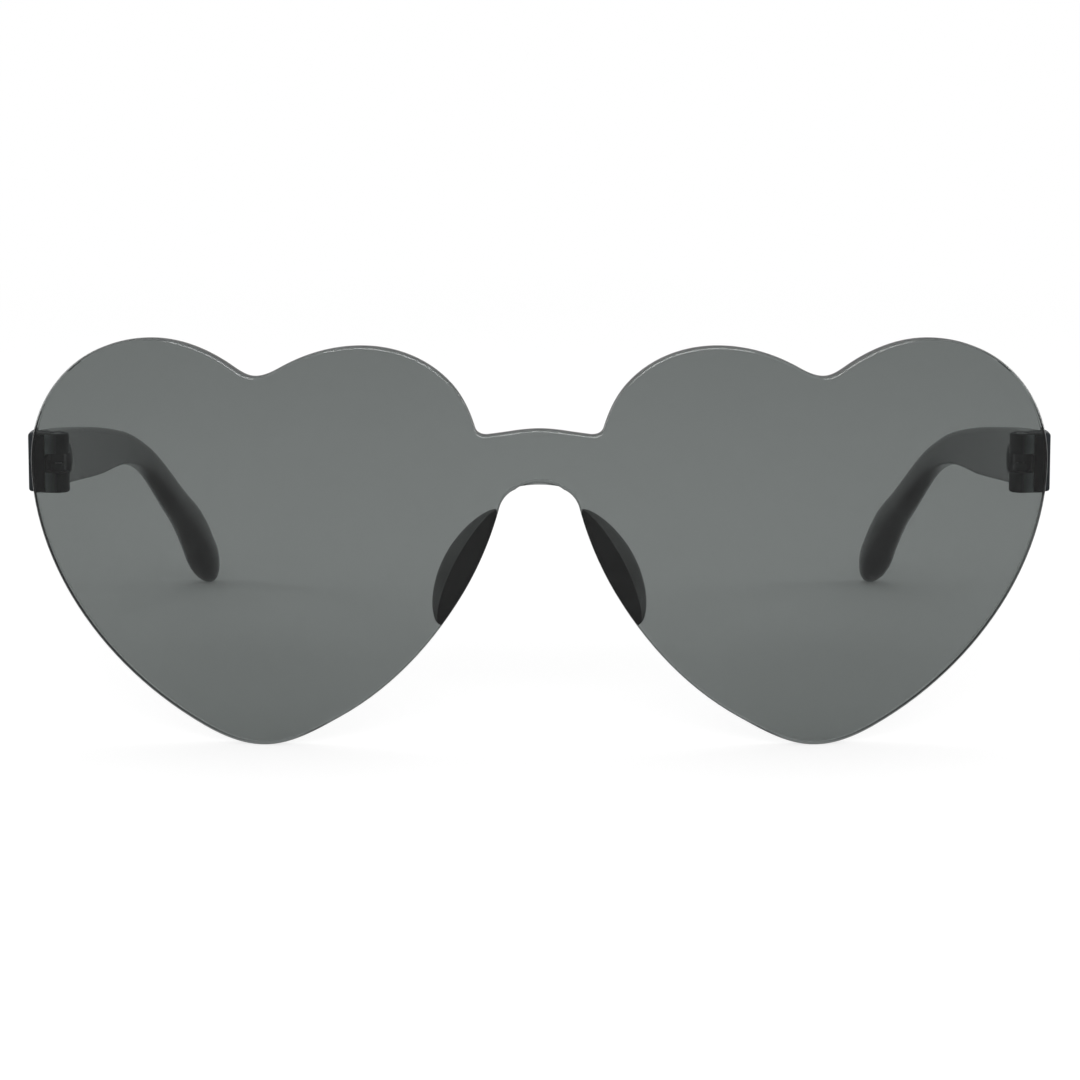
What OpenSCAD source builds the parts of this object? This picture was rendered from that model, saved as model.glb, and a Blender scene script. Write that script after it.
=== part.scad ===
// Rimless sunglasses with a one-piece heart shaped lens shield.
// Millimetres. +X is the wearer's left, +Y runs from the lens to the temple tips, +Z is up.
// The glasses stand open on the two heart tips and the two temple tips.
// The origin is on that surface, under the middle of the whole outline.

/* [Lens] */
// Width of the lens across both hearts
lens_w = 149; // [135:1:165]
// Height of the lens from the heart tips to the tops of the outer lobes
lens_h = 59.5; // [54:0.5:66]
// Thickness of the lens sheet
lens_t = 2; // [1.6:0.1:2.6]
// Radius of the curve round the face
face_r = 300; // [220:5:500]
// Height of the trimmed facet under the bridge
trim_h = 0.9; // [0.5:0.1:1.2]
// Radius of the cutter that leaves the facet
trim_r = 6.5; // [6:0.1:8]

/* [End pieces] */
// Height of an end piece, and of the front of a temple
end_h = 8.8; // [8:0.1:10.5]
// Step from the edge of the lens out to the end piece
end_proud = 0.5; // [0.3:0.1:1.5]
// Thickness of the outer wall of an end piece
wall_t = 2.8; // [2:0.1:3.2]
// Length that the wall runs back past the lugs
wall_back = 0.1; // [0.1:0.1:1.5]
// Corner radius of the end piece, seen from the front
end_round = 0.6; // [0.3:0.1:0.9]

/* [Hinge] */
// Diameter of the hinge screw
screw_d = 1.2; // [1:0.1:1.4]
// Diameter of the screw head
head_d = 2; // [1.8:0.1:2.2]
// Thickness of the screw head
head_h = 0.5; // [0.4:0.1:0.8]
// Width of the driver slot in the head
driver_slot_w = 0.3; // [0.2:0.05:0.4]
// Diameter of the knuckle on the temple
knuckle_d = 2.2; // [2.1:0.1:2.6]
// Width of the saw cut that splits the knuckle
knuckle_split = 0.15; // [0.1:0.05:0.3]
// Diameter of the round nose of a hinge lug
lug_d = 3.4; // [2.8:0.1:3.6]
// Height of the slot between the two lugs
slot_h = 2.8; // [2.4:0.1:3.4]
// Distance from the hinge axis to the outer wall
axis_to_wall = 1.7; // [1.6:0.1:2.2]

/* [Temples] */
// Length of an open temple, from its front end to the back of its tip
temple_l = 126.5; // [115:0.5:135]
// Thickness of a temple at its front
temple_t = 3.4; // [3.2:0.1:3.8]
// How far the tip lies in from the front of the temple
toe_in = 14.8; // [12:0.1:17]
// Height of the boss behind the knuckle
boss_h = 4.4; // [3.6:0.1:5]
// Diameter of that boss
boss_d = 3.6; // [3.2:0.1:4]
// Radius of the boss's barrel shape, seen from the side
boss_round = 7; // [5:0.5:12]

/* [Nose pads] */
// How far a nose pad reaches back from the lens
pad_depth = 8.5; // [6:0.5:9]
// Width of a nose pad at its widest place
pad_w = 5; // [4.5:0.1:6]
// Width of the foot that is bonded to the lens
pad_foot_w = 3.5; // [2.8:0.1:4]

/* [Fit] */
// Radial clearance between the screw and its bores
bore_gap = 0.05; // [0.03:0.01:0.08]
// Clearance between the knuckle and a lug
slot_gap = 0.1; // [0.05:0.01:0.2]
// Gap between the end piece and the front of the temple
butt_gap = 0.15; // [0.1:0.05:0.3]
// Gap between the nose of a lug and the lens
lug_gap = 0.1; // [0.05:0.05:0.3]

/* [Hidden] */

// Overrun of every cutting tool past the face that it cuts
over = 0.5;
$fn = 48;
// Sides of the large cylinders that give the lens its curve
curve_sides = 720;

// Outline of one heart: shares of half the width and of the height, and the heading in degrees.
// It runs from the middle of the bridge over both lobes, down to the tip and back under the bridge.
outline_shares = [
    [0, 0.789, 0],
    [0.064, 0.781, -9],
    [0.098, 0.775, -9],
    [0.125, 0.791, 73],
    [0.170, 0.898, 48],
    [0.343, 0.989, 0],
    [0.495, 0.940, -28],
    [0.555, 0.911, 0],
    [0.605, 0.940, 33],
    [0.753, 1, 0],
    [0.899, 0.943, -36],
    [1, 0.690, -90],
    [0.911, 0.332, -123],
    [0.662, 0.045, -151],
    [0.545, 0, -180],
    [0.392, 0.073, -210],
    [0.151, 0.380, -239],
    [0.078, 0.596, -255],
    [0.034, 0.646, -186],
    [0, 0.648, -180]];
// Steps along each stretch of the outline, and the station that is the heart's tip
outline_steps = 6;
tip_station = 14;

// Temple seen from the side: shares of its length and of the hinge's height, the heading in
// degrees, the height and thickness as shares of those at the front, and the squareness of the
// section. The last row is the tip, which rests on the ground.
temple_shares = [
    [0, 1, -8, 1, 1, 9],
    [0.20, 0.927, -7, 0.953, 1, 7],
    [0.40, 0.850, -7, 0.859, 1, 5],
    [0.55, 0.793, -9, 0.627, 0.92, 3.5],
    [0.67, 0.699, -19.5, 0.496, 1.02, 2.6],
    [0.83, 0.440, -30.5, 0.588, 1.33, 2.3],
    [0.90, 0.304, -40, 0.656, 1.5, 2.3]];
tip_heading = -53;
tip_h_share = 0.74;
tip_t_share = 1.67;
tip_squareness = 2.3;
tip_l_share = 0.98;
// Power that bows the temple inwards
toe_power = 2;
temple_steps = 5;
section_sides = 24;
// The rounding of the tip stops just short of a point, at this angle
cap_steps = 5;
cap_angle = 86;

// Height of the hinge, and the stretch of the lens edge that a nose pad covers
hinge_height_share = 0.681;
pad_top_share = 0.592;
pad_bottom_share = 0.303;
// Section of a nose pad: shares of its width out from the lens edge and of its depth
pad_section_shares = [
    [0.04, 0.18], [0.12, 0.40], [0.27, 0.66], [0.48, 0.88], [0.68, 0.98],
    [0.86, 1], [0.97, 0.93], [1, 0.80], [0.95, 0.58], [0.84, 0.32]];
pad_rings = 16;
// Share of a ring's spacing that is left off at each end of a pad
pad_end_share = 0.15;
// Power of the sine that rounds the pad off at its ends
pad_fullness = 0.6;

// Point at an angle on a circle of radius r
function at_angle(a, r = 1) = [r * cos(a), r * sin(a)];

// Handle length that makes a cubic follow a circular arc, for the angle that it turns
function handle(p, q, turn) =
    norm(q - p) * (abs(turn) < 0.01 ? 1 / 3 : 2 / 3 * tan(turn / 4) / sin(turn / 2));

function cubic(p, a, b, q, t) =
    pow(1 - t, 3) * p + 3 * t * pow(1 - t, 2) * a + 3 * t * t * (1 - t) * b + pow(t, 3) * q;

// Point at t, from 0 to 1, between two stations, each [x, y, heading]
function between(s, e, t) =
    let (p = [s[0], s[1]],
        q = [e[0], e[1]],
        reach = handle(p, q, e[2] - s[2]))
    cubic(p, p + at_angle(s[2], reach), q - at_angle(e[2], reach), q, t);

// Smooth line through all the stations
function smooth_line(stations, steps) =
    let (last = stations[len(stations) - 1])
    concat(
        [for (i = [0:len(stations) - 2])
            for (k = [0:steps - 1])
                between(stations[i], stations[i + 1], k / steps)],
        [[last[0], last[1]]]);

// Value at t between rows i and i + 1 of column c, smooth through the neighbouring rows
function smooth_value(rows, c, i, t) =
    let (a = rows[max(i - 1, 0)][c],
        p = rows[i][c],
        q = rows[i + 1][c],
        b = rows[min(i + 2, len(rows) - 1)][c])
    cubic(p, p + (q - a) / 6, q - (b - p) / 6, q, t);

// Signed power, for the rounded sections
function bent(v, e) = sign(v) * pow(abs(v), e);

// Rectangle from the origin with round corners
function round_rect(w, h, r) =
    [for (c = [[w - r, r, -90], [w - r, h - r, 0], [r, h - r, 90], [r, r, 180]])
        for (a = [0:15:90])
            [c[0], c[1]] + at_angle(c[2] + a, r)];

// Lens sheet: its back face at x, behind the middle of the front
half_w = lens_w / 2;
back_r = face_r - lens_t;
function lens_back_y(x) = face_r - sqrt(pow(back_r, 2) - pow(x, 2));

heart_line = smooth_line([for (s = outline_shares) [s[0] * half_w, s[1] * lens_h, s[2]]], outline_steps);
last_pt = len(heart_line) - 1;
lens_outline = concat(heart_line, [for (i = [last_pt - 1:-1:1]) [-heart_line[i][0], heart_line[i][1]]]);
bridge_under_z = heart_line[last_pt][1];

// Hinge: the axis stands close behind the lens, just inside the outer wall
hinge_z = hinge_height_share * lens_h;
end_x = half_w + end_proud;
wall_x = end_x - wall_t;
axis_x = wall_x - axis_to_wall;
axis_y = lens_back_y(axis_x) + lug_gap + lug_d / 2;
wall_end_y = axis_y + lug_d / 2 + wall_back;
end_low_z = hinge_z - end_h / 2;
nose_x = axis_x - lug_d / 2;

// Screw: the head sits in a counterbore in the upper lug, and both ends lie inside the lugs
screw_inset = head_h / 4;
screw_low_z = end_low_z + screw_inset;
head_low_z = end_low_z + end_h - screw_inset - head_h;

// Temple
temple_y = wall_end_y + butt_gap;
tip_r = tip_h_share * end_h / 2;
tip_l = tip_l_share * end_h;
tip_back = norm([tip_l * cos(tip_heading), tip_r * sin(tip_heading)]);
tip_down = norm([tip_l * sin(tip_heading), tip_r * cos(tip_heading)]);
temple_rows = concat(
    [for (s = temple_shares)
        [s[0] * temple_l, s[1] * hinge_z, s[2], s[3] * end_h, s[4] * temple_t, s[5]]],
    [[temple_l - tip_back, tip_down, tip_heading, 2 * tip_r, tip_t_share * temple_t, tip_squareness]]);
tip_row = temple_rows[len(temple_rows) - 1];

// Ring of the temple at middle c, [back, up], with a heading, height, thickness and squareness.
// The first ring is upright, because it is the face that meets the end piece.
function temple_ring(c, heading, h, t, sq) =
    let (x = end_x - temple_t / 2 - toe_in * pow(max(0, c[0] / temple_l), toe_power),
        a = c[0] > 0 ? heading : 0)
    [for (i = [0:section_sides - 1])
        let (w = -360 * i / section_sides,
            out = t / 2 * bent(cos(w), 2 / sq),
            up = h / 2 * bent(sin(w), 2 / sq))
        [x + out, temple_y + c[0] - up * sin(a), c[1] + up * cos(a)]];

function temple_step(i, t) =
    temple_ring(
        between(temple_rows[i], temple_rows[i + 1], t),
        smooth_value(temple_rows, 2, i, t),
        smooth_value(temple_rows, 3, i, t),
        smooth_value(temple_rows, 4, i, t),
        smooth_value(temple_rows, 5, i, t));

// The tip is rounded off with half an ellipse seen from the side
function tip_ring(w) =
    let (m = at_angle(tip_heading, tip_l * sin(w)))
    temple_ring([tip_row[0], tip_row[1]] + m, tip_heading, tip_row[3] * cos(w), tip_row[4] * cos(w), tip_row[5]);

temple_rings = concat(
    [for (i = [0:len(temple_rows) - 2]) for (k = [0:temple_steps - 1]) temple_step(i, k / temple_steps)],
    [for (k = [0:cap_steps]) tip_ring(cap_angle * k / cap_steps)]);

// Nose pad: it follows the inner edge of the heart between two heights
edge_table = [for (i = [tip_station * outline_steps:last_pt]) [heart_line[i][1], heart_line[i][0]]];
function edge_x(z) = lookup(z, edge_table);

function pad_ring(t) =
    let (z = lens_h * (pad_top_share + (pad_bottom_share - pad_top_share) * t),
        full = pow(sin(180 * t), pad_fullness),
        x = edge_x(z))
    concat(
        [[x, lens_back_y(x), z]],
        [for (s = pad_section_shares)
            [x + s[0] * pad_w * full, lens_back_y(x) + s[1] * pad_depth * full, z]],
        [[x + pad_foot_w * full, lens_back_y(x + pad_foot_w * full), z],
            [x + pad_foot_w * full / 2, lens_back_y(x + pad_foot_w * full / 2), z]]);

// The whole outline is centred on the origin, front to back
rear_y = max([for (r = temple_rings) for (p = r) p[1]]);
mid_y = rear_y / 2;

// Closed solid through a list of rings with the same number of points
module loft(rings) {
    n = len(rings[0]);
    pts = [for (r = rings) each r];
    sides = [for (j = [0:len(rings) - 2]) for (i = [0:n - 1])
        let (a = j * n + i, b = j * n + (i + 1) % n)
        each [[a, b + n, b], [a, a + n, b + n]]];
    front = [for (i = [0:n - 1]) i];
    back = [for (i = [n - 1:-1:0]) (len(rings) - 1) * n + i];
    polyhedron(pts, concat([front], sides, [back]));
}

// Everything is drawn with the middle of the lens front at y = 0, and one side only
module placed(mirrored = false) {
    translate([0, -mid_y, 0]) mirror([mirrored ? 1 : 0, 0, 0]) children();
}

// Inside of the curved lens sheet, which every bonded piece is cut to
module behind_lens() {
    translate([0, face_r, -over]) cylinder(r = back_r, h = lens_h + 2 * over, $fn = curve_sides);
}

// Upright bar of the profile in the x-z plane, from y0 to y1
module front_profile(points, y0, y1) {
    translate([0, y1, 0]) rotate([90, 0, 0]) linear_extrude(y1 - y0) polygon(points);
}

module hinge_bore(d, z0, z1) {
    translate([axis_x, axis_y, z0]) cylinder(d = d, h = z1 - z0);
}

module lens_sheet() {
    intersection() {
        front_profile(lens_outline, -over, lens_back_y(half_w) + over);
        difference() {
            translate([0, face_r, -over]) cylinder(r = face_r, h = lens_h + 2 * over, $fn = curve_sides);
            translate([0, 0, -over]) behind_lens();
            translate([0, 0, over]) behind_lens();
        }
    }
}

// Facet under the bridge, where the moulding's gate is trimmed away
module gate_trim() {
    translate([0, 0, bridge_under_z + trim_h]) rotate([-atan(trim_h / lens_t), 0, 0])
        translate([0, 0, -trim_r]) rotate([-90, 0, 0]) translate([0, 0, -trim_r])
            cylinder(r = trim_r, h = 2 * trim_r);
}

module lens_front() {
    color([0.35, 0.37, 0.37, 0.6]) placed() difference() {
        lens_sheet();
        gate_trim();
    }
}

// Plan of an end piece: the outer wall, and the lug that stands in from it round the hinge axis
module end_plan() {
    start_y = lens_back_y(nose_x) - over;
    polygon(concat(
        [[end_x, start_y], [end_x, wall_end_y], [wall_x, wall_end_y], [wall_x, axis_y + lug_d / 2]],
        [for (a = [90:15:270]) [axis_x, axis_y] + at_angle(a, lug_d / 2)],
        [[wall_x, axis_y - lug_d / 2], [wall_x, start_y]]));
}

module end_piece() {
    color([0.12, 0.14, 0.15]) difference() {
        intersection() {
            translate([0, 0, end_low_z]) linear_extrude(end_h) end_plan();
            translate([nose_x, 0, end_low_z])
                front_profile(round_rect(end_x - nose_x, end_h, end_round), 0, wall_end_y + over);
            behind_lens();
        }
        translate([nose_x - over, 0, hinge_z - slot_h / 2])
            cube([wall_x - nose_x + over, wall_end_y + over, slot_h]);
        hinge_bore(screw_d + 2 * bore_gap, end_low_z - over, end_low_z + end_h + over);
        hinge_bore(head_d + 2 * bore_gap, head_low_z, end_low_z + end_h + over);
    }
}

module hinge_screw() {
    color("silver") difference() {
        union() {
            hinge_bore(screw_d, screw_low_z, head_low_z + head_h / 2);
            hinge_bore(head_d, head_low_z, head_low_z + head_h);
        }
        translate([axis_x - head_d, axis_y - driver_slot_w / 2, head_low_z + head_h / 2])
            cube([2 * head_d, driver_slot_w, head_h]);
    }
}

// Middle knuckle of the hinge, its web and the boss that carries them
module knuckle() {
    low = hinge_z - slot_h / 2 + slot_gap;
    high = hinge_z + slot_h / 2 - slot_gap;
    hinge_bore(knuckle_d, low, high);
    translate([axis_x - knuckle_d / 2, axis_y, low])
        cube([knuckle_d, temple_y + boss_d / 2 - axis_y, high - low]);
    translate([axis_x, temple_y + boss_d / 2, hinge_z]) rotate_extrude() polygon(concat(
        [[0, -boss_h / 2]],
        [for (k = [-2:2]) [boss_d / 2 - boss_round, 0] + at_angle(k / 2 * asin(boss_h / 2 / boss_round), boss_round)],
        [[0, boss_h / 2]]));
}

module temple() {
    color([0.25, 0.27, 0.27]) difference() {
        union() {
            loft(temple_rings);
            knuckle();
        }
        hinge_bore(screw_d + 2 * bore_gap, hinge_z - slot_h, hinge_z + slot_h);
        translate([axis_x - knuckle_d, axis_y - knuckle_d, hinge_z - knuckle_split / 2])
            cube([2 * knuckle_d, temple_y - axis_y + knuckle_d, knuckle_split]);
    }
}

module nose_pad() {
    color([0.13, 0.15, 0.16])
        loft([for (k = [0:pad_rings]) pad_ring((k + pad_end_share) / (pad_rings + 2 * pad_end_share))]);
}

module end_piece_left() { placed() end_piece(); }
module end_piece_right() { placed(true) end_piece(); }
module temple_left() { placed() temple(); }
module temple_right() { placed(true) temple(); }
module hinge_screw_left() { placed() hinge_screw(); }
module hinge_screw_right() { placed(true) hinge_screw(); }
module nose_pad_left() { placed() nose_pad(); }
module nose_pad_right() { placed(true) nose_pad(); }

lens_front();
end_piece_left();
end_piece_right();
temple_left();
temple_right();
hinge_screw_left();
hinge_screw_right();
nose_pad_left();
nose_pad_right();
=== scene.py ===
"""Looks of the heart shaped sunglasses: detailed pieces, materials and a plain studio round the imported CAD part.

Lengths in the tables and helpers are millimetres, with y counted from the front of the lens, as in the
part's source. make_mesh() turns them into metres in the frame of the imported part.
"""

import math

import bmesh
import bpy
import numpy as np
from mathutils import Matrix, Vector


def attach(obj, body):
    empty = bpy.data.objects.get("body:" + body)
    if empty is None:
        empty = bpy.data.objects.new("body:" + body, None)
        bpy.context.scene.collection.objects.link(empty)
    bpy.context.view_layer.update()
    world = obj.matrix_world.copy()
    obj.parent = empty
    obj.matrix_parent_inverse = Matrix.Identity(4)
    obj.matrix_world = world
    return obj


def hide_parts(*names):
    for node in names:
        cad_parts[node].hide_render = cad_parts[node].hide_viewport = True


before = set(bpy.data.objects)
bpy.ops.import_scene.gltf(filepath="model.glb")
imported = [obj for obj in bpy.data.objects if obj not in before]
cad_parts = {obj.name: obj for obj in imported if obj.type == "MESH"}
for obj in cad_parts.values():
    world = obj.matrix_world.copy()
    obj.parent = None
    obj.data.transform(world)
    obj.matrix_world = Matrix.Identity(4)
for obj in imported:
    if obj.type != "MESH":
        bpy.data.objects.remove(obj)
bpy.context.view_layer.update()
MM = 0.001

# Sizes of the part's source
LENS_W, LENS_H, LENS_T, FACE_R = 149.0, 59.5, 2.0, 300.0
BACK_R = FACE_R - LENS_T
TRIM_H, TRIM_HALF_W = 0.9, 3.5
END_X, END_H, WALL_T, WALL_END_Y = 75.0, 8.8, 2.8, 14.0594
HINGE_X, HINGE_Y, HINGE_Z = 70.5, 12.2594, 40.5195
LUG_D, SCREW_D, HEAD_D, HEAD_LOW_Z = 3.4, 1.2, 2.0, 44.2945
TEMPLE_Y, TEMPLE_L, TEMPLE_T, TOE_IN, TOE_POWER = 14.2094, 126.46, 3.4, 14.8, 2.0
KNUCKLE_D, SLOT_H, SLOT_GAP, SPLIT, BORE_GAP = 2.2, 2.8, 0.1, 0.15, 0.05
BOSS_D, BOSS_H, BOSS_ROUND = 3.6, 4.4, 7.0
PAD_DEPTH, PAD_W, PAD_FOOT_W = 8.5, 5.0, 3.5
MID_Y = 70.3418
WALL_X = END_X - WALL_T
# A bonded piece reaches this far into the lens, as glue leaves no air between them
BOND = 0.02
# Gap between a hinge lug and the lens
LUG_GAP = 0.06

# Outline of one heart: shares of half the width and of the height, and the heading in degrees
OUTLINE = [
    (0, 0.789, 0), (0.064, 0.781, -9), (0.098, 0.775, -9), (0.125, 0.791, 73), (0.170, 0.898, 48),
    (0.343, 0.989, 0), (0.495, 0.940, -28), (0.555, 0.911, 0), (0.605, 0.940, 33), (0.753, 1, 0),
    (0.899, 0.943, -36), (1, 0.690, -90), (0.911, 0.332, -123), (0.662, 0.045, -151), (0.545, 0, -180),
    (0.392, 0.073, -210), (0.151, 0.380, -239), (0.078, 0.596, -255), (0.034, 0.646, -186), (0, 0.648, -180)]
TIP_STATION = 14
# Temple: shares of its length and of the hinge's height, heading, shares of height and thickness, squareness
TEMPLE = [
    (0, 1, -8, 1, 1, 9), (0.20, 0.927, -7, 0.954, 1, 7), (0.40, 0.850, -7, 0.860, 1, 5),
    (0.55, 0.793, -8.8, 0.628, 0.92, 3.5), (0.67, 0.699, -19.5, 0.498, 1.02, 2.6),
    (0.83, 0.438, -30, 0.580, 1.365, 2.3), (0.90, 0.305, -37, 0.688, 1.59, 2.3)]
TIP_HEADING, TIP_H, TIP_T, TIP_SQUARENESS, TIP_L = -47.2, 0.764 * END_H, 1.68 * TEMPLE_T, 2.3, 0.92 * END_H
# Section of a nose pad: shares of its width and of its depth
PAD_SECTION = [
    (0.04, 0.18), (0.12, 0.40), (0.27, 0.66), (0.48, 0.88), (0.68, 0.98),
    (0.86, 1), (0.97, 0.93), (1, 0.80), (0.95, 0.58), (0.84, 0.32)]
PAD_TOP, PAD_BOTTOM, PAD_FULLNESS = 0.592, 0.303, 0.6


def cubic(p, a, b, q, t):
    return (1 - t) ** 3 * p + 3 * t * (1 - t) ** 2 * a + 3 * t * t * (1 - t) * b + t ** 3 * q


def heading(angle, length=1.0):
    return length * np.array([math.cos(math.radians(angle)), math.sin(math.radians(angle))])


def between(s, e, t):
    """Point at t between two stations, each (x, y, heading), on a cubic that follows an arc."""
    p, q, turn = np.array(s[:2], float), np.array(e[:2], float), math.radians(e[2] - s[2])
    share = 1 / 3 if abs(turn) < 1e-4 else 2 / 3 * math.tan(turn / 4) / math.sin(turn / 2)
    reach = np.linalg.norm(q - p) * share
    return cubic(p, p + heading(s[2], reach), q - heading(e[2], reach), q, t)


def smooth_value(rows, c, i, t):
    """Value of column c between rows i and i + 1, smooth along column 0 through the neighbouring rows."""
    near = [rows[min(max(j, 0), len(rows) - 1)] for j in (i - 1, i, i + 1, i + 2)]
    (s0, a), (s1, p), (s2, q), (s3, b) = [(row[0], row[c]) for row in near]
    third = (s2 - s1) / 3
    return cubic(p, p + (q - a) / (s2 - s0) * third, q - (b - p) / (s3 - s1) * third, q, t)


def sheet_y(x, radius=BACK_R):
    return FACE_R - math.sqrt(radius ** 2 - x * x)


def heart_line(steps):
    """Half of the outline, from the middle of the bridge round the heart and back."""
    rows = [(s[0] * LENS_W / 2, s[1] * LENS_H, s[2]) for s in OUTLINE]
    line = [between(rows[i], rows[i + 1], k / steps) for i in range(len(rows) - 1) for k in range(steps)]
    return np.array(line + [np.array(rows[-1][:2])])


def make_mesh(name, points, faces, normals=None, sharp=None):
    co = np.array(points, float) * MM
    co[:, 1] -= MID_Y * MM
    mesh = bpy.data.meshes.new(name)
    mesh.from_pydata(co.tolist(), [], faces)
    mesh.validate()
    mesh.shade_smooth()
    if sharp is not None:
        mesh.set_sharp_from_angle(angle=math.radians(sharp))
    if normals is not None:
        mesh.normals_split_custom_set_from_vertices([Vector(n).normalized() for n in normals])
    obj = bpy.data.objects.new(name, mesh)
    bpy.context.scene.collection.objects.link(obj)
    return obj


def mirrored(shape):
    points, faces = shape
    return [(-p[0], p[1], p[2]) for p in points], [tuple(reversed(f)) for f in faces]


def loft(rings):
    """Closed solid through rings of the same number of points."""
    n = len(rings[0])
    faces = [(j * n + i, j * n + (i + 1) % n, (j + 1) * n + (i + 1) % n, (j + 1) * n + i)
             for j in range(len(rings) - 1) for i in range(n)]
    faces += [tuple(reversed(range(n))), tuple(range((len(rings) - 1) * n, len(rings) * n))]
    return [p for r in rings for p in r], faces


def carve(name, solids, cuts=(), sharp=35):
    """One object from overlapping closed solids, less the cuts."""
    parts = [make_mesh(name, *solids[0])] + [make_mesh("part", *s) for s in [*solids[1:], *cuts]]
    base = parts[0]
    for i, part in enumerate(parts[1:], 1):
        step = base.modifiers.new("step", "BOOLEAN")
        step.operation = "UNION" if i < len(solids) else "DIFFERENCE"
        step.solver, step.object = "EXACT", part
    bpy.context.view_layer.update()
    mesh = bpy.data.meshes.new_from_object(base.evaluated_get(bpy.context.evaluated_depsgraph_get()))
    mesh.shade_smooth()
    mesh.set_sharp_from_angle(angle=math.radians(sharp))
    base.modifiers.clear()
    base.data = mesh
    mesh.name = name
    for part in parts[1:]:
        bpy.data.objects.remove(part)
    return base


def quarter(steps=5):
    return np.linspace(0, math.pi / 2, steps)


def prism(plan, z0, z1, edge):
    """Upright solid over a plan drawn anticlockwise, with its top and bottom edges rounded."""
    plan = np.array(plan, float)
    ahead, behind = np.roll(plan, -1, 0) - plan, plan - np.roll(plan, 1, 0)
    n1 = np.stack([ahead[:, 1], -ahead[:, 0]], 1) / np.linalg.norm(ahead, axis=1)[:, None]
    n2 = np.stack([behind[:, 1], -behind[:, 0]], 1) / np.linalg.norm(behind, axis=1)[:, None]
    out = (n1 + n2) / (1 + (n1 * n2).sum(1))[:, None]
    levels = [(edge * (1 - math.sin(a)), z0 + edge * (1 - math.cos(a))) for a in quarter()]
    levels += [(edge * (1 - math.cos(a)), z1 - edge * (1 - math.sin(a))) for a in quarter()]
    return loft([[(x, y, z) for x, y in plan - inset * out] for inset, z in levels])


def turned(profile, x, y, steps=64):
    """Solid of revolution about an upright axis, from (radius, z) pairs that run upwards."""
    rings = [[(x + r * math.cos(a), y + r * math.sin(a), z) for a in (2 * math.pi * k / steps for k in range(steps))]
             for r, z in profile]
    return loft(rings)


def rounded_barrel(r, z0, z1, edge):
    profile = [(r - edge * (1 - math.sin(a)), z0 + edge * (1 - math.cos(a))) for a in quarter()]
    return profile + [(r - edge * (1 - math.cos(a)), z1 - edge * (1 - math.sin(a))) for a in quarter()]


def round_box(x0, x1, y0, y1, z0, z1, edge):
    """Bar along y whose four long edges are rounded."""
    corners = ((x1 - edge, z0 + edge, -90), (x1 - edge, z1 - edge, 0),
               (x0 + edge, z1 - edge, 90), (x0 + edge, z0 + edge, 180))
    ring = [(cx + edge * math.cos(math.radians(start) + a), cz + edge * math.sin(math.radians(start) + a))
            for cx, cz, start in corners for a in quarter()]
    return loft([[(x, y, z) for x, z in reversed(ring)] for y in (y0, y1)])


# Lens: one sheet with rounded edges that follow the outline, and walls square to its curve
def lens_rim(edge=0.4):
    """Rings from the front face round the edge to the back face, with their normals."""
    half = heart_line(14)
    line = np.vstack([half, [(-x, z) for x, z in half[-2:0:-1]]])
    tangent = np.roll(line, -1, 0) - np.roll(line, 1, 0)
    tangent /= np.linalg.norm(tangent, axis=1)[:, None]
    outward = np.stack([-tangent[:, 1], tangent[:, 0]], 1)
    profile = [(edge * (math.sin(a) - 1), edge * (1 - math.cos(a))) for a in quarter(6)]
    profile += [(0, LENS_T * k / 6) for k in range(1, 6)]
    profile += [(edge * (math.cos(a) - 1), LENS_T - edge * (1 - math.sin(a))) for a in quarter(6)]
    rings = []
    for out, depth in profile:
        ring = []
        for (x, z), (ox, oz) in zip(line, outward):
            p = np.array([x, sheet_y(x, FACE_R), z])
            face = np.array([x, p[1] - FACE_R, 0]) / FACE_R
            q = p + out * np.array([-ox * face[1], ox * face[0], oz]) - depth * face
            if abs(x) < TRIM_HALF_W and z < LENS_H * 0.7:
                q[2] += TRIM_H * (1 - (x / TRIM_HALF_W) ** 2) * (1 - depth / LENS_T)
            ring.append(q)
        rings.append(ring)
    grid = np.array(rings)
    along = np.roll(grid, -1, 1) - np.roll(grid, 1, 1)
    down = np.gradient(grid, axis=0)
    normals = np.cross(along, down)
    normals /= np.linalg.norm(normals, axis=2)[:, :, None]
    for ring, turn in ((0, 1), (-1, -1)):
        radial = (grid[ring] - (0, FACE_R, 0)) * (1, 1, 0)
        normals[ring] = turn * radial / np.linalg.norm(radial, axis=1)[:, None]
    return grid, normals


def fill_face(points, normals, ring, radius, front):
    """Faces that fill a ring in narrow upright strips, so that the sheet stays smoothly curved."""
    bm = bmesh.new()
    keep = bm.verts.layers.int.new("ring")
    spots = [(points[i][0], 0, points[i][2]) for i in ring]
    verts = [bm.verts.new(s) for s in spots]
    for v, i in zip(verts, ring):
        v[keep] = i + 1
    bm.faces.new(verts)
    for x in np.arange(-74.25, 74.3, 0.5):
        everything = bm.verts[:] + bm.edges[:] + bm.faces[:]
        bmesh.ops.bisect_plane(bm, geom=everything, plane_co=(x, 0, 0), plane_no=(1, 0, 0))
    number, faces, first = {}, [], ring[0]
    for v in bm.verts:
        if v[keep] and (v.co - Vector(spots[v[keep] - 1 - first])).length < 1e-6:
            number[v] = v[keep] - 1
        else:
            y = sheet_y(v.co.x, radius)
            face = np.array([v.co.x, y - FACE_R, 0]) / radius
            number[v] = len(points)
            points.append((v.co.x, y, v.co.z))
            normals.append(face if front else -face)
    for f in bm.faces:
        turn = f.calc_area() and f.normal.y < 0
        indices = [number[v] for v in f.verts]
        faces.append(tuple(indices if turn == front else reversed(indices)))
    bm.free()
    return faces


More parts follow.
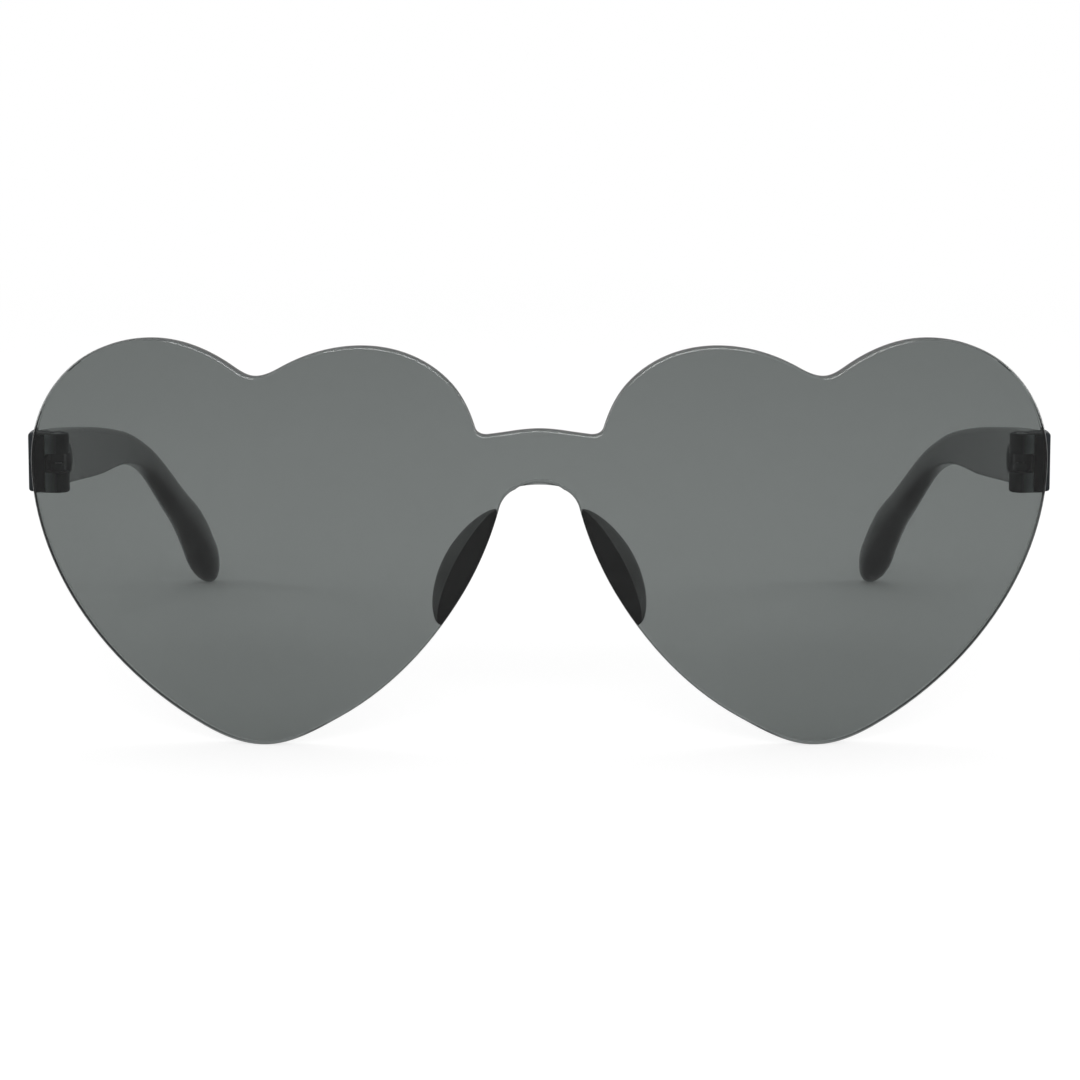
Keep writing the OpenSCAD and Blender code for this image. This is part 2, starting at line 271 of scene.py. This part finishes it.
def lens_shield():
    grid, rim_normals = lens_rim()
    rings, n = grid.shape[:2]
    points, normals = list(grid.reshape(-1, 3)), list(rim_normals.reshape(-1, 3))
    faces = [(j * n + i, j * n + (i + 1) % n, (j + 1) * n + (i + 1) % n, (j + 1) * n + i)
             for j in range(rings - 1) for i in range(n)]
    faces += fill_face(points, normals, range(n), FACE_R, True)
    faces += fill_face(points, normals, range((rings - 1) * n, rings * n), BACK_R, False)
    return make_mesh("lens_shield", points, faces, normals=normals)


# Temples
def temple_ring(c, tilt, h, t, squareness, shrink=0.0, sides=72):
    x = END_X - TEMPLE_T / 2 - TOE_IN * max(0.0, c[0] / TEMPLE_L) ** TOE_POWER
    a = math.radians(tilt)
    ring = []
    for i in range(sides):
        w = -2 * math.pi * i / sides
        out = (t / 2 - shrink) * math.copysign(abs(math.cos(w)) ** (2 / squareness), math.cos(w))
        up = (h / 2 - shrink) * math.copysign(abs(math.sin(w)) ** (2 / squareness), math.sin(w))
        ring.append((x + out, TEMPLE_Y + c[0] - up * math.sin(a), c[1] + up * math.cos(a)))
    return ring


def temple_arm(steps=14, edge=0.25):
    rows = [(s[0] * TEMPLE_L, s[1] * HINGE_Z, s[2], s[3] * END_H, s[4] * TEMPLE_T, s[5]) for s in TEMPLE]
    a = math.radians(TIP_HEADING)
    back = math.hypot(TIP_L * math.cos(a), TIP_H / 2 * math.sin(a))
    down = math.hypot(TIP_L * math.sin(a), TIP_H / 2 * math.cos(a))
    rows.append((TEMPLE_L - back, down, TIP_HEADING, TIP_H, TIP_T, TIP_SQUARENESS))
    rings = []
    for b in quarter(6):
        front = temple_ring((0, rows[0][1]), 0, *rows[0][3:], shrink=edge * (1 - math.sin(b)))
        rings.append([(x, y + edge * (1 - math.cos(b)), z) for x, y, z in front])
    for i in range(len(rows) - 1):
        for k in range(1 if i == 0 else 0, steps):
            t = k / steps
            tilt, h, th, squareness = (smooth_value(rows, c, i, t) for c in (2, 3, 4, 5))
            rings.append(temple_ring(between(rows[i], rows[i + 1], t), tilt, h, th, squareness))
    tip = rows[-1]
    for w in np.radians(np.linspace(0, 88.5, 16)):
        c = np.array(tip[:2]) + heading(TIP_HEADING, TIP_L * math.sin(w))
        rings.append(temple_ring(c, TIP_HEADING, tip[3] * math.cos(w), tip[4] * math.cos(w), tip[5]))
    return loft(rings)


def hinge_knuckle(name, place):
    """Split middle knuckle of a temple, with its web and the barrel-shaped boss behind it."""
    reach = SLOT_H / 2 - SLOT_GAP
    halves = [(HINGE_Z - reach, HINGE_Z - SPLIT / 2), (HINGE_Z + SPLIT / 2, HINGE_Z + reach)]
    boss_y, edge = TEMPLE_Y + BOSS_D / 2, 0.2
    lean = math.asin(BOSS_H / 2 / BOSS_ROUND)
    side = [(BOSS_D / 2 - BOSS_ROUND * (1 - math.cos(a)), BOSS_ROUND * math.sin(a))
            for a in np.linspace(-lean, lean, 17)]
    side = [p for p in side if abs(p[1]) < BOSS_H / 2 - edge]
    top = [(side[-1][0] - edge * (1 - math.cos(a)), BOSS_H / 2 - edge * (1 - math.sin(a))) for a in quarter()[1:]]
    profile = [(r, -z) for r, z in reversed(top)] + side + top
    solids = [turned([(r, HINGE_Z + z) for r, z in profile], HINGE_X, boss_y)]
    web, round_edge = KNUCKLE_D / 2 - 0.04, 0.12
    for z0, z1 in halves:
        solids.append(turned(rounded_barrel(KNUCKLE_D / 2, z0, z1, round_edge), HINGE_X, HINGE_Y))
        solids.append(round_box(HINGE_X - web, HINGE_X + web, HINGE_Y, boss_y, z0, z1, round_edge))
    r = SCREW_D / 2 + BORE_GAP
    bore = turned([(r, HINGE_Z - reach - 1), (r, HINGE_Z + reach + 1)], HINGE_X, HINGE_Y)
    return carve(name, [place(s) for s in solids], [place(bore)])


def end_block(name, place):
    """Outer wall with two hinge lugs, a slot between them with round corners, and the screw's bores."""
    low, high = HINGE_Z - END_H / 2, HINGE_Z + END_H / 2
    radius = BACK_R + BOND
    lug_r, lug_end = LUG_D / 2, WALL_X + 0.5
    front = [(x, sheet_y(x, radius)) for x in np.linspace(WALL_X, END_X, 8)]
    corner = [(END_X, WALL_END_Y - 0.3), (END_X - 0.1, WALL_END_Y - 0.08), (END_X - 0.3, WALL_END_Y)]
    wall = [*front, *corner, (WALL_X, WALL_END_Y)]
    nose = [(HINGE_X + lug_r * math.cos(a), HINGE_Y + lug_r * math.sin(a))
            for a in np.radians(np.linspace(90, 280, 26))]
    flat = [(x, sheet_y(x, BACK_R - LUG_GAP)) for x in np.linspace(HINGE_X + 0.6, lug_end, 5)]
    lug = [*nose, *flat, (lug_end, HINGE_Y + lug_r)]
    slot = round_box(
        HINGE_X - LUG_D, WALL_X + 0.05, 0, WALL_END_Y + 1, HINGE_Z - SLOT_H / 2, HINGE_Z + SLOT_H / 2, 0.3)
    r, head_r = SCREW_D / 2 + BORE_GAP, HEAD_D / 2 + BORE_GAP
    bore = turned([(r, low - 1), (r, high + 1)], HINGE_X, HINGE_Y)
    flare = [(head_r, high - 0.15), (head_r + 0.2, high + 0.05), (head_r + 0.2, high + 1)]
    sink = turned([(head_r, HEAD_LOW_Z), *flare], HINGE_X, HINGE_Y)
    solids = [prism(wall, low, high, 0.5), prism(lug, low + 0.02, high - 0.02, 0.4)]
    return carve(name, [place(s) for s in solids], [place(slot), place(bore), place(sink)])


def nose_pad(rings=72):
    """Wing along the inner edge of a heart, bonded to the lens along its foot."""
    table = heart_line(14)[TIP_STATION * 14:]
    table = table[np.argsort(table[:, 1])]
    fine = []
    for i in range(len(PAD_SECTION) - 1):
        a, p, q, b = (np.array(PAD_SECTION[min(max(j, 0), len(PAD_SECTION) - 1)]) for j in (i - 1, i, i + 1, i + 2))
        fine += [cubic(p, p + (q - a) / 6, q - (b - p) / 6, q, k / 4) for k in range(4)]
    fine.append(np.array(PAD_SECTION[-1]))
    out = []
    for k in range(rings + 1):
        t = 0.01 + 0.98 * (1 - math.cos(math.pi * (k + 0.35) / (rings + 0.7))) / 2
        z = LENS_H * (PAD_TOP + (PAD_BOTTOM - PAD_TOP) * t)
        full = math.sin(math.pi * t) ** PAD_FULLNESS
        x = float(np.interp(z, table[:, 1], table[:, 0]))
        ring = [(x + 0.1 * full, sheet_y(x + 0.1 * full, BACK_R + BOND), z)]
        ring += [(x + s * PAD_W * full, sheet_y(x) + d * PAD_DEPTH * full, z) for s, d in fine]
        foot = [x + f * PAD_FOOT_W * full for f in (1, 0.75, 0.5, 0.25)]
        ring += [(fx, sheet_y(fx, BACK_R + BOND), z) for fx in foot]
        out.append(ring)
    return loft(out)


# Painted light on the lug fronts: nearly white, as the lens dims both the light that reaches the lug fronts and what
# is seen of them.
# It is painted light standing in for their paler, lit look behind the lens, and isn't the colour of the plastic. The
# fade below, in millimetres, runs from the wall towards the lug's nose.
LUG_PAINTED_LIGHT = (0.90, 0.94, 0.96)
LUG_PAINTED_LIGHT_FADE = 1.8


class Nodes:
    """Short calls for building a node tree."""

    def __init__(self, owner):
        owner.use_nodes = True
        self.tree = owner.node_tree
        self.tree.nodes.clear()

    def add(self, kind, operation=None, **inputs):
        node = self.tree.nodes.new(kind)
        if operation:
            node.operation = operation
        for name, value in inputs.items():
            socket = node.inputs[name.replace("_", " ")]
            if isinstance(value, bpy.types.NodeSocket):
                self.link(value, socket)
            else:
                socket.default_value = value
        return node

    def link(self, a, b):
        self.tree.links.new(a, b)

    def math(self, operation, *values):
        node = self.add("ShaderNodeMath", operation)
        for socket, value in zip(node.inputs, values):
            if isinstance(value, bpy.types.NodeSocket):
                self.link(value, socket)
            else:
                socket.default_value = value
        return node.outputs["Value"]

    def noise(self, scale, detail=3.0, stretch=(1, 1, 1)):
        coords = self.add("ShaderNodeTexCoord")
        place = self.add("ShaderNodeMapping", Vector=coords.outputs["Object"], Scale=stretch)
        noise = self.add("ShaderNodeTexNoise", Vector=place.outputs["Vector"], Scale=scale, Detail=detail)
        return noise.outputs["Fac"]

    def spread(self, source, low, high, start=0.3, end=0.7):
        node = self.add(
            "ShaderNodeMapRange", Value=source, From_Min=start, From_Max=end, To_Min=low, To_Max=high)
        return node.outputs["Result"]

    def two_colours(self, source, a, b):
        ramp = self.add("ShaderNodeValToRGB", Fac=source)
        first, second = ramp.color_ramp.elements
        first.position, first.color, second.position, second.color = 0.3, (*a, 1), 0.7, (*b, 1)
        return ramp.outputs["Color"]

    def blend(self, share, a, b):
        node = self.add("ShaderNodeMixRGB", Fac=share, Color1=a, Color2=(*b, 1))
        return node.outputs["Color"]

    def bump(self, source, height):
        return self.add("ShaderNodeBump", Height=source, Distance=height).outputs["Normal"]


def lug_painted_light_mask(m):
    """Mask of the painted light on a lug front: 1 where the flat front of a hinge lug starts at the wall, falling to
    0 towards the lug's nose.
    """
    coords = m.add("ShaderNodeTexCoord")
    inwards = m.math("ABSOLUTE", m.add("ShaderNodeSeparateXYZ", Vector=coords.outputs["Object"]).outputs["X"])
    facing = m.add("ShaderNodeSeparateXYZ", Vector=coords.outputs["Normal"]).outputs["Y"]
    start, end = (WALL_X - LUG_PAINTED_LIGHT_FADE) * MM, WALL_X * MM
    fade = m.math("POWER", m.spread(inwards, 0, 1, start, end), 1.3)
    off_wall = m.spread(inwards, 1, 0, end, end + 0.1 * MM)
    return m.math("MULTIPLY", m.math("MULTIPLY", fade, off_wall), m.spread(facing, 1, 0, -0.9, -0.6))


def moulded_plastic(name, dark, light, rough, grain, height, ior=1.5, painted_light_on_lugs=False):
    """Dark moulded plastic with slight clouding of its colour, gloss and surface, and painted light on the lug
    fronts if asked.
    """
    mat = bpy.data.materials.new(name)
    m = Nodes(mat)
    colour = m.two_colours(m.noise(240, 4), dark, light)
    shader = m.add(
        "ShaderNodeBsdfPrincipled", IOR=ior,
        Base_Color=m.blend(lug_painted_light_mask(m), colour, LUG_PAINTED_LIGHT) if painted_light_on_lugs else colour,
        Roughness=m.spread(m.noise(900), *rough),
        Normal=m.bump(m.noise(grain, 4), height))
    m.add("ShaderNodeOutputMaterial", Surface=shader.outputs["BSDF"])
    return mat


def smoke_polycarbonate(name):
    """Clear sheet that the dye darkens through its thickness. Lamps shine through it, as through the real one.

    The cut edge is rough and nearly black, which draws the dark line round the sheet.
    """
    mat = bpy.data.materials.new(name)
    m = Nodes(mat)
    facing = m.add("ShaderNodeSeparateXYZ", Vector=m.add("ShaderNodeTexCoord").outputs["Normal"]).outputs["Y"]
    cut_edge = m.spread(m.math("ABSOLUTE", facing), 1, 0, 0.3, 0.9)
    clear = m.two_colours(m.noise(14, 2), (0.975, 0.975, 0.975), (1, 1, 1))
    glass = m.add(
        "ShaderNodeBsdfPrincipled", IOR=1.585, Transmission_Weight=1.0,
        Base_Color=m.blend(cut_edge, clear, (0.010, 0.013, 0.013)),
        Roughness=m.math("MAXIMUM", m.math("MULTIPLY", cut_edge, 0.5), m.spread(m.noise(420, 2), 0.0, 0.012)))
    through = m.add("ShaderNodeBsdfTransparent", Color=(0.9, 0.9, 0.9, 1))
    shade = m.add("ShaderNodeMixShader", Fac=m.add("ShaderNodeLightPath").outputs["Is Shadow Ray"])
    m.link(glass.outputs["BSDF"], shade.inputs[1])
    m.link(through.outputs["BSDF"], shade.inputs[2])
    dye = m.add("ShaderNodeVolumeAbsorption", Color=(0.082, 0.123, 0.112, 1), Density=1000.0)
    m.add("ShaderNodeOutputMaterial", Surface=shade.outputs["Shader"], Volume=dye.outputs["Volume"])
    return mat


def turned_steel(name):
    mat = bpy.data.materials.new(name)
    m = Nodes(mat)
    shader = m.add(
        "ShaderNodeBsdfPrincipled", Metallic=1.0,
        Base_Color=m.two_colours(m.noise(1500), (0.42, 0.42, 0.43), (0.62, 0.62, 0.63)),
        Roughness=m.spread(m.noise(2500), 0.22, 0.38),
        Normal=m.bump(m.noise(6000, 2), 0.00001))
    m.add("ShaderNodeOutputMaterial", Surface=shader.outputs["BSDF"])
    return mat


LENS_MAT = smoke_polycarbonate("smoke_polycarbonate")
# Painted light: the block's lug fronts get a nearly white colour at the wall that fades towards the lug's nose.
BLOCK_MAT = moulded_plastic(
    "hinge_block_plastic", (0.020, 0.023, 0.026), (0.024, 0.028, 0.031), (0.36, 0.44), 2600, 0.000002,
    ior=1.3, painted_light_on_lugs=True)
# Painted light: the knuckle and its boss get a paler copy of the temple plastic they are moulded with, so that they
# look lit.
KNUCKLE_PAINTED_LIGHT_MAT = moulded_plastic(
    "hinge_knuckle_plastic_painted_paler", (0.026, 0.029, 0.032), (0.030, 0.034, 0.037), (0.14, 0.20), 2600, 0.000002)
TEMPLE_MAT = moulded_plastic(
    "temple_plastic", (0.005, 0.007, 0.008), (0.008, 0.010, 0.011), (0.15, 0.20), 1500, 0.000002)
PAD_MAT = moulded_plastic(
    "pad_plastic", (0.004, 0.006, 0.007), (0.006, 0.008, 0.009), (0.30, 0.38), 1800, 0.000003, ior=1.38)
STEEL_MAT = turned_steel("screw_steel")


def dress(obj, body, material, replaced):
    obj.data.materials.clear()
    obj.data.materials.append(material)
    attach(obj, body)
    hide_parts(replaced)


def dress_screw(name):
    """The CAD screw keeps its mesh and gets softened edges and its material."""
    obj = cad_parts[name]
    obj.data.materials.clear()
    obj.data.materials.append(STEEL_MAT)
    obj.modifiers.new("join", "WELD").merge_threshold = 1e-6
    edges = obj.modifiers.new("edges", "BEVEL")
    edges.width, edges.segments, edges.limit_method, edges.angle_limit = 0.05 * MM, 3, "ANGLE", math.radians(35)


dress(lens_shield(), "front", LENS_MAT, "lens_front")
for side, place in (("left", lambda shape: shape), ("right", mirrored)):
    arm, pad = place(temple_arm()), place(nose_pad())
    arm_piece = make_mesh(f"temple_arm_{side}", *arm, sharp=50)
    dress(arm_piece, f"{side}_arm", TEMPLE_MAT, f"temple_{side}")
    dress(hinge_knuckle(f"hinge_knuckle_{side}", place), f"{side}_arm", KNUCKLE_PAINTED_LIGHT_MAT, f"temple_{side}")
    dress(end_block(f"end_block_{side}", place), "front", BLOCK_MAT, f"end_piece_{side}")
    pad_piece = make_mesh(f"nose_pad_wing_{side}", *pad, sharp=60)
    dress(pad_piece, "front", PAD_MAT, f"nose_pad_{side}")
    dress_screw(f"hinge_screw_{side}")


def is_background(m, with_glossy=None):
    """1 for the rays that see a white surround: camera and transmission rays, and reflections from behind."""
    path = m.add("ShaderNodeLightPath")
    seen = m.math("MAXIMUM", path.outputs["Is Camera Ray"], path.outputs["Is Transmission Ray"])
    if with_glossy is None:
        return seen
    return m.math("MAXIMUM", seen, m.math("MULTIPLY", path.outputs["Is Glossy Ray"], with_glossy))


# Share of the floor that the lamps light, so that it holds the object's shadow. The rest of it is plain white.
FLOOR_LIT, FLOOR_LIT_THROUGH_LENS = 0.28, 0.80


def add_floor(half=0.7):
    """Pale floor that turns into the white surround with distance.

    Reflections see it white behind and beside the object, and dim under and in front of it.
    """
    mesh = bpy.data.meshes.new("floor")
    mesh.from_pydata([(-half, -half, 0), (half, -half, 0), (half, half, 0), (-half, half, 0)], [], [(0, 1, 2, 3)])
    floor = bpy.data.objects.new("floor", mesh)
    bpy.context.scene.collection.objects.link(floor)
    mat = bpy.data.materials.new("pale_floor")
    m = Nodes(mat)
    place = m.add("ShaderNodeTexCoord").outputs["Object"]
    away = m.add("ShaderNodeVectorMath", "LENGTH")
    m.link(place, away.inputs[0])
    far = m.spread(away.outputs["Value"], 0, 1, 0.25, 0.6)
    spot = m.add("ShaderNodeSeparateXYZ", Vector=place)
    behind = m.spread(spot.outputs["Y"], 0, 1, 0.055, 0.075)
    wide = m.spread(m.math("ABSOLUTE", spot.outputs["X"]), 0, 1, 0.10, 0.14)
    beside = m.math("MULTIPLY", wide, m.spread(spot.outputs["Y"], 0, 1, -0.08, -0.05))
    through_lens = m.add("ShaderNodeLightPath").outputs["Is Transmission Ray"]
    share = m.spread(through_lens, FLOOR_LIT, FLOOR_LIT_THROUGH_LENS, 0, 1)
    lit = m.math("MULTIPLY", share, m.math("SUBTRACT", 1, far))
    white = is_background(m, m.math("MAXIMUM", behind, beside))
    plain = m.math("MULTIPLY", white, m.math("SUBTRACT", 1, lit))
    glow = m.math("MAXIMUM", plain, m.math("MULTIPLY", far, FLOOR_LIT))
    pale = m.add("ShaderNodeCombineColor", Red=lit, Green=lit, Blue=lit)
    diffuse = m.add("ShaderNodeBsdfDiffuse", Color=pale.outputs["Color"])
    both = m.add("ShaderNodeAddShader")
    m.link(diffuse.outputs["BSDF"], both.inputs[0])
    m.link(m.add("ShaderNodeEmission", Strength=glow).outputs["Emission"], both.inputs[1])
    m.add("ShaderNodeOutputMaterial", Surface=both.outputs["Shader"])
    mesh.materials.append(mat)


def add_world():
    """White surround for the camera, soft light that is stronger from behind for everything else."""
    world = bpy.data.worlds.new("studio")
    bpy.context.scene.world = world
    m = Nodes(world)
    way = m.add("ShaderNodeTexCoord").outputs["Generated"]
    level = m.spread(m.add("ShaderNodeSeparateXYZ", Vector=way).outputs["Y"], 0.3, 1.0, -0.5, 0.3)
    strength = m.math("MAXIMUM", is_background(m), level)
    background = m.add("ShaderNodeBackground", Color=(1, 1, 1, 1), Strength=strength)
    m.add("ShaderNodeOutputWorld", Surface=background.outputs["Background"])


def softbox(name, at, towards, size, power):
    light = bpy.data.lights.new(name, "AREA")
    light.shape, light.size, light.size_y, light.energy = "RECTANGLE", *size, power
    obj = bpy.data.objects.new(name, light)
    bpy.context.scene.collection.objects.link(obj)
    obj.location = at
    obj.rotation_euler = (Vector(towards) - Vector(at)).to_track_quat("-Z", "Y").to_euler()


add_floor()
add_world()
softbox("top_softbox", (0, 0.15, 0.75), (0, 0, 0), (0.9, 0.6), 0.6)
softbox("front_softbox", (0, -0.9, 0.5), (0, 0, 0.03), (0.8, 0.4), 7.0)
softbox("left_softbox", (-0.9, 0.15, 0.3), (0, 0, 0.03), (0.25, 0.5), 2.4)
softbox("right_softbox", (0.9, 0.15, 0.3), (0, 0, 0.03), (0.25, 0.5), 2.4)

# Camera: distance, height and length fitted to the heart's outline in the photograph
camera = bpy.data.cameras.new("camera")
camera.sensor_width, camera.lens, camera.shift_x = 36.0, 139.71, 0.0006
camera.clip_start, camera.clip_end = 0.01, 20
cam = bpy.data.objects.new("camera", camera)
bpy.context.scene.collection.objects.link(cam)
cam.location = (0, (-597.12 - MID_Y) * MM, 131.86 * MM)
aim = Vector((0, -MID_Y * MM, 30.87 * MM))
cam.rotation_euler = (aim - cam.location).to_track_quat("-Z", "Y").to_euler()
bpy.context.scene.camera = cam
bpy.context.scene.view_settings.view_transform = "Standard"

bpy.context.view_layer.update()
